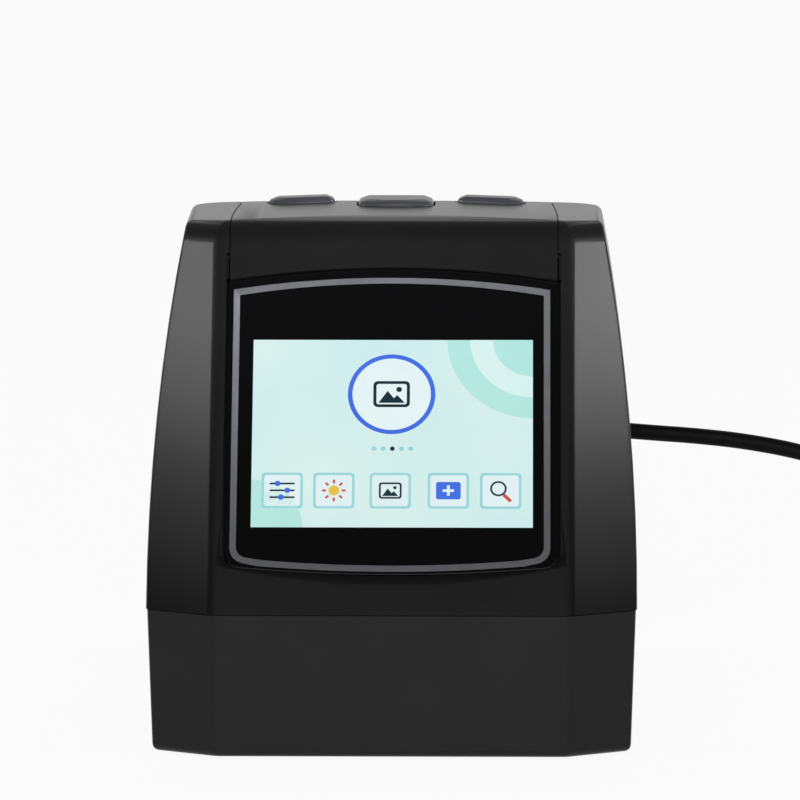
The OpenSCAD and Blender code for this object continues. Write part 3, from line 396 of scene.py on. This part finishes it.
def coil_point(u):
    """Point u turns along the coil: in and out by layers, from the top layer down."""
    k = math.floor(u / TURNS_PER_LAYER)
    v = u - k * TURNS_PER_LAYER
    r = COIL_R - TURN_STEP * (v if k % 2 == 0 else TURNS_PER_LAYER - v)
    a = math.radians(90 - 360 * u)
    return (
        COIL_MID[0] + r * math.cos(a), COIL_MID[1] + r * math.sin(a),
        COIL_TOP - LAYER_STEP * layer_at(u),
    )


COIL_END_A = math.radians(90 - 360 * COIL_TURNS)
TAIL_DIR = Vector((math.sin(COIL_END_A), -math.cos(COIL_END_A), 0))
COIL_END = Vector((
    COIL_MID[0] + COIL_R * math.cos(COIL_END_A), COIL_MID[1] + COIL_R * math.sin(COIL_END_A),
    COIL_TOP - LAYER_STEP * (COIL_LAYERS - 1),
))


def cord_points():
    count = round(COIL_TURNS * POINTS_PER_TURN)
    points = [Vector(p) for p in ROUTE]
    points += [Vector(coil_point(i / POINTS_PER_TURN)) for i in range(count)]
    points.append(COIL_END)
    points += [COIL_END + l * TAIL_DIR + Vector((0, 0, rise)) for l, rise in TAIL_RISE]
    at_plug = Vector((COIL_END.x, COIL_END.y, PLUG_Z))
    points += [at_plug + (TAIL_L - CORD_D) * TAIL_DIR, at_plug + TAIL_L * TAIL_DIR]
    return points


def run_length(points):
    return sum((b - a).length for a, b in zip(points, points[1:]))


def cord():
    """The cord in one tube, and its length in metres."""
    points = cord_points()
    data = bpy.data.curves.new("usb_cord_run", "CURVE")
    data.dimensions = "3D"
    data.resolution_u = 5
    data.bevel_depth = CORD_D / 2 * MM
    data.bevel_resolution = 4
    data.use_fill_caps = True
    spline = data.splines.new("BEZIER")
    spline.bezier_points.add(len(points) - 1)
    for spot, point in zip(spline.bezier_points, points):
        spot.co = point * MM
        spot.handle_left_type = "AUTO"
        spot.handle_right_type = "AUTO"
    run = bpy.data.objects.new("usb_cord_run", data)
    scene.collection.objects.link(run)
    finish(run, "scanner", "cord_plastic", cord_plastic, "usb_cord", "cord_coil")
    return run, run_length(points) * MM


cord_run, cord_length = cord()


# ---------- front frame ----------

# The leaning front has its own frame: x across, s up the slope from the parting line and
# n out of the face, all in millimetres.
FRONT_Y = -42
PART_Z = 26
LEAN = math.radians(32)
on_front = (
    Matrix.Translation((0, FRONT_Y * MM, PART_Z * MM))
    @ Matrix.Rotation(math.pi / 2 - LEAN, 4, "X")
    @ Matrix.Scale(MM, 4)
)


# ---------- mouldings taken over from the frame ----------

DISH_END_S = 19.7
DISH_SIDE_X = 30.3
POCKET_SIDE_X = 29.4
DISH_NEAR_S = 0.15
DISH_NEAR_N = 1
DISH_CLEAR = 0.05


def run_out_dish(piece):
    """Lets the sides of the dish round the pocket run out into its walls, without a step."""
    to_front = on_front.inverted()
    for point in piece.data.vertices:
        place = to_front @ point.co
        side = abs(place.x)
        at_end = abs(place.y - DISH_END_S) < DISH_NEAR_S and abs(place.z) < DISH_NEAR_N
        if at_end and POCKET_SIDE_X + DISH_CLEAR < side < DISH_SIDE_X + 2 * DISH_CLEAR:
            place.x = math.copysign(POCKET_SIDE_X + DISH_CLEAR, place.x)
            point.co = on_front @ place


def moulding(node, body, slot, material, width):
    """A node's visible shell, with its edges rounded over `width` mm."""
    piece = merged_copy(node, node + "_moulding")
    if node == "upper_housing":
        run_out_dish(piece)
    soft_edges(piece, width)
    finish(piece, body, slot, material, node)
    return piece


moulding("upper_housing", "scanner", "housing_plastic", housing_plastic, 0.3)
moulding("base_housing", "scanner", "base_plastic", base_plastic, 0.3)
moulding("top_cover", "scanner", "housing_plastic", housing_plastic, 0.18)
moulding("display_window", "scanner", "window_black", window_black, 0.12)
moulding("rubber_feet", "scanner", "foot_rubber", foot_rubber, 0.15)
for side in ("left", "middle", "right"):
    moulding(f"key_{side}", f"key_{side}_set", "key_plastic", key_plastic, 0.15)
device_plug = moulding("device_plug", "scanner", "cord_plastic", plug_plastic, 0.5)
device_shell = moulding("device_plug_shell", "scanner", "plug_metal", plug_metal, 0.1)
computer_plug = moulding("computer_plug", "scanner", "cord_plastic", plug_plastic, 0.5)
computer_shell = moulding("computer_plug_shell", "scanner", "plug_metal", plug_metal, 0.1)
tie = moulding("coil_tie", "scanner", "tie_plastic", tie_plastic, 0.15)

# The rib under each side gap of the cover lies just under the flat top. It goes deeper behind
# the front, from SEAT_REAR_Y on.
SEAT_FACE_X = 27.5
SEAT_SIDEWAYS = 0.95
SEAT_INSET = 0.28
SEAT_DROP = 0.08
SEAT_DEPTH = 1.3
SEAT_REAR_Y = 12
SEAT_W = 0.9


def cover_seat(side):
    """The rib of the housing under a side gap of the cover, so that no light shows through."""
    piece = merged_copy("top_cover", f"cover_seat_{side}")
    way = -1 if side == "left" else 1
    edit(piece, "FACE")
    select_faces(piece, lambda place, normal: (
        normal.x * way > SEAT_SIDEWAYS and place.x * way > SEAT_FACE_X * MM
    ))
    bpy.ops.mesh.select_all(action="INVERT")
    bpy.ops.mesh.delete(type="FACE")
    bpy.ops.mesh.select_all(action="SELECT")
    bpy.ops.transform.translate(value=(-SEAT_INSET * way * MM, 0, -SEAT_DROP * MM))
    outward = (SEAT_W * way * MM, 0, 0)
    bpy.ops.mesh.extrude_region_move(TRANSFORM_OT_translate={"value": outward})
    bpy.ops.mesh.select_all(action="SELECT")
    bpy.ops.mesh.normals_make_consistent(inside=False)
    bpy.ops.object.mode_set(mode="OBJECT")
    for point in piece.data.vertices:
        share = (SEAT_REAR_Y * MM - point.co.y) / (SEAT_REAR_Y * MM)
        point.co.y += SEAT_DEPTH * MM * min(max(share, 0), 1)
    finish(piece, "scanner", "housing_plastic", inner_plastic)


for side in ("left", "right"):
    cover_seat(side)


# ---------- window and its lit display ----------

WINDOW_N = -0.9
SCREEN_W = 48.96
SCREEN_H = 35.8
SCREEN_S = 34.85
INK = 0.03
INK_SUNK = 0.4
GLOW = 0.82
UNLIT_BLACK = 0.9
GLASS_ROUGHNESS = 0.12
GLASS_IOR = 1.38

# The ring's two outlines: left, right, low at the sides, low in the middle, high at the sides,
# high in the middle, and the radius of the lower corners.
RING_OUTER = (-28.1, 27.5, 10.1, 8.6, 62.5, 64.8, 2.9)
RING_INNER = (-27.0, 26.4, 11.15, 9.75, 61.4, 63.7, 2.1)

# The picture's places are measured from the middle of the display.
MARK = (-0.2, 7.45)
MARK_R = 7.65
MARK_GROUND_R = 6.85
DOTS_Y = -2.95
DOT_R = 0.42
DOT_STEP = 1.6
TILES_X = (-19.1, -10.1, -0.3, 9.8, 18.9)
TILES_Y = -10.95
TILE_OUTER = (7.2, 6.8, 0.7)
TILE_INNER = (6.3, 5.9, 0.5)
CORNER_BANDS = (15, 11, 7)
LOW_CORNER_R = 9


def arc(cx, cy, r, a0, a1, n):
    """Points of an arc from angle a0 to a1 in degrees."""
    steps = [math.radians(a0 + (a1 - a0) * i / n) for i in range(n + 1)]
    return [(cx + r * math.cos(a), cy + r * math.sin(a)) for a in steps]


def disc(cx, cy, r, n=48):
    return arc(cx, cy, r, 0, 360, n)[:-1]


def rounded(cx, cy, w, h, r, n=6):
    """Outline of a rectangle with round corners."""
    x, y = w / 2 - r, h / 2 - r
    return (
        arc(cx + x, cy - y, r, -90, 0, n) + arc(cx + x, cy + y, r, 0, 90, n)
        + arc(cx - x, cy + y, r, 90, 180, n) + arc(cx - x, cy - y, r, 180, 270, n)
    )


def printed(name, outlines, level, material, slot="screen", low=SCREEN_S):
    """A layer of ink or light on the window: flat outlines in mm, one level over another."""
    middle = WINDOW_N + INK * (level - INK_SUNK)
    data = bpy.data.curves.new(name, "CURVE")
    data.dimensions = "2D"
    data.fill_mode = "BOTH"
    data.extrude = INK / 2
    for outline in outlines:
        spline = data.splines.new("POLY")
        spline.points.add(len(outline) - 1)
        spline.use_cyclic_u = True
        for spot, (x, y) in zip(spline.points, outline):
            spot.co = (x, y + low, middle, 1)
    piece = bpy.data.objects.new(name, data)
    scene.collection.objects.link(piece)
    pick(piece)
    bpy.ops.object.convert(target="MESH")
    piece = bpy.context.object
    piece.name = name
    if data.users == 0:
        bpy.data.curves.remove(data)
    for point in piece.data.vertices:
        point.co.z = middle + (INK / 2 if point.co.z > 0 else -INK / 2)
    piece.matrix_world = on_front
    settle(piece)
    finish(piece, "scanner", slot, material)


def lit(name, low, high, scale):
    """A lit part of the display: its light carries the colour, under clear glossy glass."""
    material, tree, shader, place = new_material(name)
    drift = noise(tree, place, scale, 1)
    colour = ramp(tree, drift, low, high)
    black = tree.nodes.new("ShaderNodeMix")
    black.data_type = "RGBA"
    black.inputs["Factor"].default_value = UNLIT_BLACK
    black.inputs["B"].default_value = (0, 0, 0, 1)
    tree.links.new(colour, black.inputs["A"])
    tree.links.new(black.outputs["Result"], shader.inputs["Base Color"])
    tree.links.new(colour, shader.inputs["Emission Color"])
    shader.inputs["Emission Strength"].default_value = GLOW
    shader.inputs["Roughness"].default_value = GLASS_ROUGHNESS
    shader.inputs["IOR"].default_value = GLASS_IOR
    return material


def window_line():
    """The grey line printed round the display, with round lower corners and bowed ends."""
    def outline(left, right, low, low_mid, high, high_mid, r):
        mid = (left + right) / 2
        half = (right - left) / 2
        bottom = [
            (mid + half * t, low_mid + (low - low_mid) * t * t)
            for t in [i / 12 for i in range(-10, 11)]
        ]
        top = [
            (mid + half * t, high_mid + (high - high_mid) * t * t)
            for t in [i / 12 for i in range(12, -13, -1)]
        ]
        corner_r = arc(right - r, low + r, r, -75, 0, 6)
        corner_l = arc(left + r, low + r, r, 180, 255, 6)
        return bottom + corner_r + top + corner_l
    rings = [outline(*RING_OUTER), outline(*RING_INNER)]
    printed("window_line", rings, 1, window_grey, "window_black", 0)


window_line()

MINT_LOW = (0.66, 0.90, 0.91)
MINT_HIGH = (0.76, 0.94, 0.90)
screen_pale = lit("screen_pale", MINT_LOW, MINT_HIGH, 40)
screen_mint = lit("screen_mint", (0.46, 0.82, 0.76), (0.52, 0.86, 0.80), 60)
screen_white = lit("screen_white", (0.78, 0.92, 0.95), (0.84, 0.95, 0.96), 60)
screen_blue = lit("screen_blue", (0.055, 0.16, 0.76), (0.07, 0.19, 0.82), 90)
screen_teal = lit("screen_teal", (0.32, 0.69, 0.72), (0.36, 0.74, 0.76), 90)
screen_navy = lit("screen_navy", (0.010, 0.030, 0.045), (0.016, 0.040, 0.055), 90)
screen_red = lit("screen_red", (0.62, 0.07, 0.06), (0.72, 0.10, 0.08), 90)
screen_yellow = lit("screen_yellow", (0.80, 0.52, 0.05), (0.86, 0.60, 0.08), 90)


def display():
    """The lit picture: a round mark over a row of five tiles on a pale ground."""
    half_w, half_h = SCREEN_W / 2, SCREEN_H / 2
    printed("screen_ground", [rounded(0, 0, SCREEN_W, SCREEN_H, 0.05, 1)], 1, screen_pale)
    for i, r in enumerate(CORNER_BANDS):
        corner = [(half_w, half_h)] + arc(half_w, half_h, r, 180, 270, 24)
        printed(f"screen_corner_{i}", [corner], 2 + i, (screen_mint, screen_pale)[i % 2])
    low_corner = [(-half_w, -half_h)] + arc(-half_w, -half_h, LOW_CORNER_R, 0, 90, 24)
    printed("screen_low_corner", [low_corner], 2, screen_mint)
    mark_ground = disc(*MARK, MARK_GROUND_R, 72)
    printed("mark_ring", [disc(*MARK, MARK_R, 72), mark_ground], 3, screen_blue)
    printed("mark_ground", [mark_ground], 3, screen_white)
    picture_icon("mark", *MARK, 1.0)
    for i, x in enumerate((-2, -1, 0, 1, 2)):
        tone = screen_navy if x == 0 else screen_teal
        printed(f"page_dot_{i}", [disc(x * DOT_STEP, DOTS_Y, DOT_R, 20)], 2, tone)
    for i, x in enumerate(TILES_X):
        frame_out = rounded(x, TILES_Y, *TILE_OUTER)
        frame_in = rounded(x, TILES_Y, *TILE_INNER)
        printed(f"tile_frame_{i}", [frame_out, frame_in], 2, screen_teal)
        printed(f"tile_ground_{i}", [frame_in], 2, screen_white)
    slider_icon(TILES_X[0], TILES_Y)
    sun_icon(TILES_X[1], TILES_Y)
    picture_icon("tile", TILES_X[2], TILES_Y, 0.62)
    plus_icon(TILES_X[3], TILES_Y)
    search_icon(TILES_X[4], TILES_Y)


def picture_icon(name, cx, cy, size):
    """A picture in its frame: a hill and a sun."""
    w, h, t = 6.4 * size, 5.0 * size, 0.55 * size
    outer = rounded(cx, cy, w, h, 0.8 * size)
    inner = rounded(cx, cy, w - 2 * t, h - 2 * t, 0.4 * size)
    printed(f"{name}_picture_frame", [outer, inner], 4, screen_navy)
    low = cy - h / 2 + 1.5 * t
    hill = [
        (cx - 2.3 * size, low), (cx - 0.7 * size, low + 2.3 * size),
        (cx + 0.4 * size, low + 0.9 * size), (cx + 1.0 * size, low + 1.5 * size),
        (cx + 2.3 * size, low),
    ]
    printed(f"{name}_picture_hill", [hill], 4, screen_navy)
    sun = disc(cx + 1.3 * size, cy + 0.9 * size, 0.5 * size, 20)
    printed(f"{name}_picture_sun", [sun], 4, screen_navy)


def slider_icon(cx, cy):
    """Three slide controls."""
    for i, (dy, knob) in enumerate(((1.3, -0.8), (0, 0.9), (-1.3, -0.2))):
        printed(f"slider_bar_{i}", [rounded(cx, cy + dy, 4.4, 0.34, 0.16, 3)], 4, screen_navy)
        printed(f"slider_knob_{i}", [disc(cx + knob, cy + dy, 0.52, 20)], 5, screen_blue)


def sun_icon(cx, cy):
    """A sun with eight rays."""
    printed("sun_disc", [disc(cx, cy, 0.95, 28)], 4, screen_yellow)
    rays = []
    for k in range(8):
        a = math.radians(45 * k)
        along = Vector((math.cos(a), math.sin(a)))
        across = Vector((-along.y, along.x)) * 0.2
        near, tip = along * 1.35, along * 2.05
        corners = (near - across, tip - across, tip + across, near + across)
        rays.append([(cx + p.x, cy + p.y) for p in corners])
    printed("sun_rays", rays, 4, screen_red)


def plus_icon(cx, cy):
    """A plus on a filled ground."""
    printed("plus_ground", [rounded(cx, cy, 4.3, 3.3, 0.4)], 4, screen_blue)
    printed("plus_bar", [rounded(cx, cy, 2.0, 0.5, 0.1, 3)], 5, screen_white)
    printed("plus_stem", [rounded(cx, cy, 0.5, 2.0, 0.1, 3)], 6, screen_white)


def search_icon(cx, cy):
    """A magnifying glass."""
    ring = (cx - 0.4, cy + 0.4)
    printed("search_ring", [disc(*ring, 1.45, 32), disc(*ring, 1.1, 32)], 4, screen_navy)
    a, b = (cx + 0.5, cy - 0.75), (cx + 1.75, cy - 2.0)
    w = 0.22
    handle = [
        (a[0] - w, a[1] - w), (b[0] - w, b[1] - w), (b[0] + w, b[1] + w), (a[0] + w, a[1] + w),
    ]
    printed("search_handle", [handle], 4, screen_red)


display()


# ---------- studio ----------

FLOOR_SIZE = 12
PAPER_GREY = 0.86
PAPER_SEEN_WHITE = 0.93

# The studio's tone against the height of a direction along STUDIO_WAY: white behind and at the
# sides, a dark ceiling, and a faint cloth above the camera that the leaning front mirrors.
STUDIO_WAY = (0, -0.6, 0.8)
STUDIO_TONES = ((0.12, 1.0), (0.25, 1.0), (0.42, 0.0), (0.9, 0.0), (1.0, 0.10))

# Each side has two gridded lamps, given for the right side by their place and aim. The right
# pair is the brighter one.
LAMP_CONE = math.radians(22)
LAMP_BLEND = 0.35
LAMP_RADIUS = 0.03
HIGH_LAMP = ((0.361, -0.131, 0.345), (0.03, 0, 0.125))
LOW_LAMP = ((0.361, -0.131, 0.300), (0.03, 0, 0.150))
SIDE_POWERS = (("left", -1, 1.0, 8.2), ("right", 1, 1.4, 12.6))
FRONT_LAMP = ((0, -2.1, 0.9), (0, 0, 0.05))
FRONT_LAMP_SIZE = 2.0
FRONT_LAMP_POWER = 52


def floor():
    """White paper: it takes shadows, and the camera sees it almost at full white."""
    bpy.ops.mesh.primitive_plane_add(size=FLOOR_SIZE, location=(0, 0, 0))
    ground = bpy.context.object
    ground.name = "studio_floor"
    material = bpy.data.materials.new("studio_floor")
    material.use_nodes = True
    tree = material.node_tree
    tree.nodes.clear()
    out = tree.nodes.new("ShaderNodeOutputMaterial")
    paper = tree.nodes.new("ShaderNodeBsdfDiffuse")
    paper.inputs["Color"].default_value = (PAPER_GREY, PAPER_GREY, PAPER_GREY, 1)
    white = tree.nodes.new("ShaderNodeEmission")
    white.inputs["Strength"].default_value = 1
    path = tree.nodes.new("ShaderNodeLightPath")
    # 1 where the paper is seen directly, in a reflection or through glass, 0 where it is lit.
    seen = None
    for ray in ("Is Camera Ray", "Is Glossy Ray", "Is Transmission Ray"):
        if seen is None:
            seen = path.outputs[ray]
            continue
        most = tree.nodes.new("ShaderNodeMath")
        most.operation = "MAXIMUM"
        tree.links.new(seen, most.inputs[0])
        tree.links.new(path.outputs[ray], most.inputs[1])
        seen = most.outputs[0]
    share = tree.nodes.new("ShaderNodeMath")
    share.operation = "MULTIPLY"
    share.inputs[1].default_value = PAPER_SEEN_WHITE
    tree.links.new(seen, share.inputs[0])
    mix = tree.nodes.new("ShaderNodeMixShader")
    tree.links.new(share.outputs[0], mix.inputs["Fac"])
    tree.links.new(paper.outputs[0], mix.inputs[1])
    tree.links.new(white.outputs[0], mix.inputs[2])
    tree.links.new(mix.outputs[0], out.inputs["Surface"])
    ground.data.materials.append(material)


def hang(data, place, aim):
    """Hangs a lamp at its place, turned to its aim and out of the camera's sight."""
    lamp = bpy.data.objects.new(data.name, data)
    scene.collection.objects.link(lamp)
    lamp.location = place
    lamp.rotation_euler = (Vector(aim) - Vector(place)).to_track_quat("-Z", "Y").to_euler()
    lamp.visible_camera = False


def gridded_lamp(name, way, lamp, power):
    """A lamp behind a grid: its beam has an edge, so that it fades down the cheeks."""
    data = bpy.data.lights.new(name, "SPOT")
    data.spot_size = LAMP_CONE
    data.spot_blend = LAMP_BLEND
    data.shadow_soft_size = LAMP_RADIUS
    data.energy = power
    place, aim = [(way * x, y, z) for x, y, z in lamp]
    hang(data, place, aim)


def front_lamp():
    """A large lamp behind a cloth in front: it lights the form without a hard image of itself."""
    data = bpy.data.lights.new("front_lamp", "AREA")
    data.size = FRONT_LAMP_SIZE
    data.energy = FRONT_LAMP_POWER
    hang(data, *FRONT_LAMP)


def studio_world():
    """The studio's tones as a world, without an image."""
    world = bpy.data.worlds.new("studio")
    scene.world = world
    world.use_nodes = True
    tree = world.node_tree
    back = tree.nodes["Background"]
    place = tree.nodes.new("ShaderNodeTexCoord").outputs["Generated"]
    tilt = tree.nodes.new("ShaderNodeVectorMath")
    tilt.operation = "DOT_PRODUCT"
    tilt.inputs[1].default_value = STUDIO_WAY
    tree.links.new(place, tilt.inputs[0])
    tones = tree.nodes.new("ShaderNodeValToRGB")
    steps = tones.color_ramp.elements
    for height, grey in STUDIO_TONES[2:]:
        steps.new(height)
    for step, (height, grey) in zip(steps, STUDIO_TONES):
        step.position = height
        step.color = (grey, grey, grey, 1)
    tree.links.new(tilt.outputs["Value"], tones.inputs["Fac"])
    tree.links.new(tones.outputs["Color"], back.inputs["Color"])
    back.inputs["Strength"].default_value = 1


floor()
studio_world()
for side, way, high_power, low_power in SIDE_POWERS:
    gridded_lamp(f"{side}_high_lamp", way, HIGH_LAMP, high_power)
    gridded_lamp(f"{side}_low_lamp", way, LOW_LAMP, low_power)
front_lamp()
scene.view_settings.view_transform = "Standard"
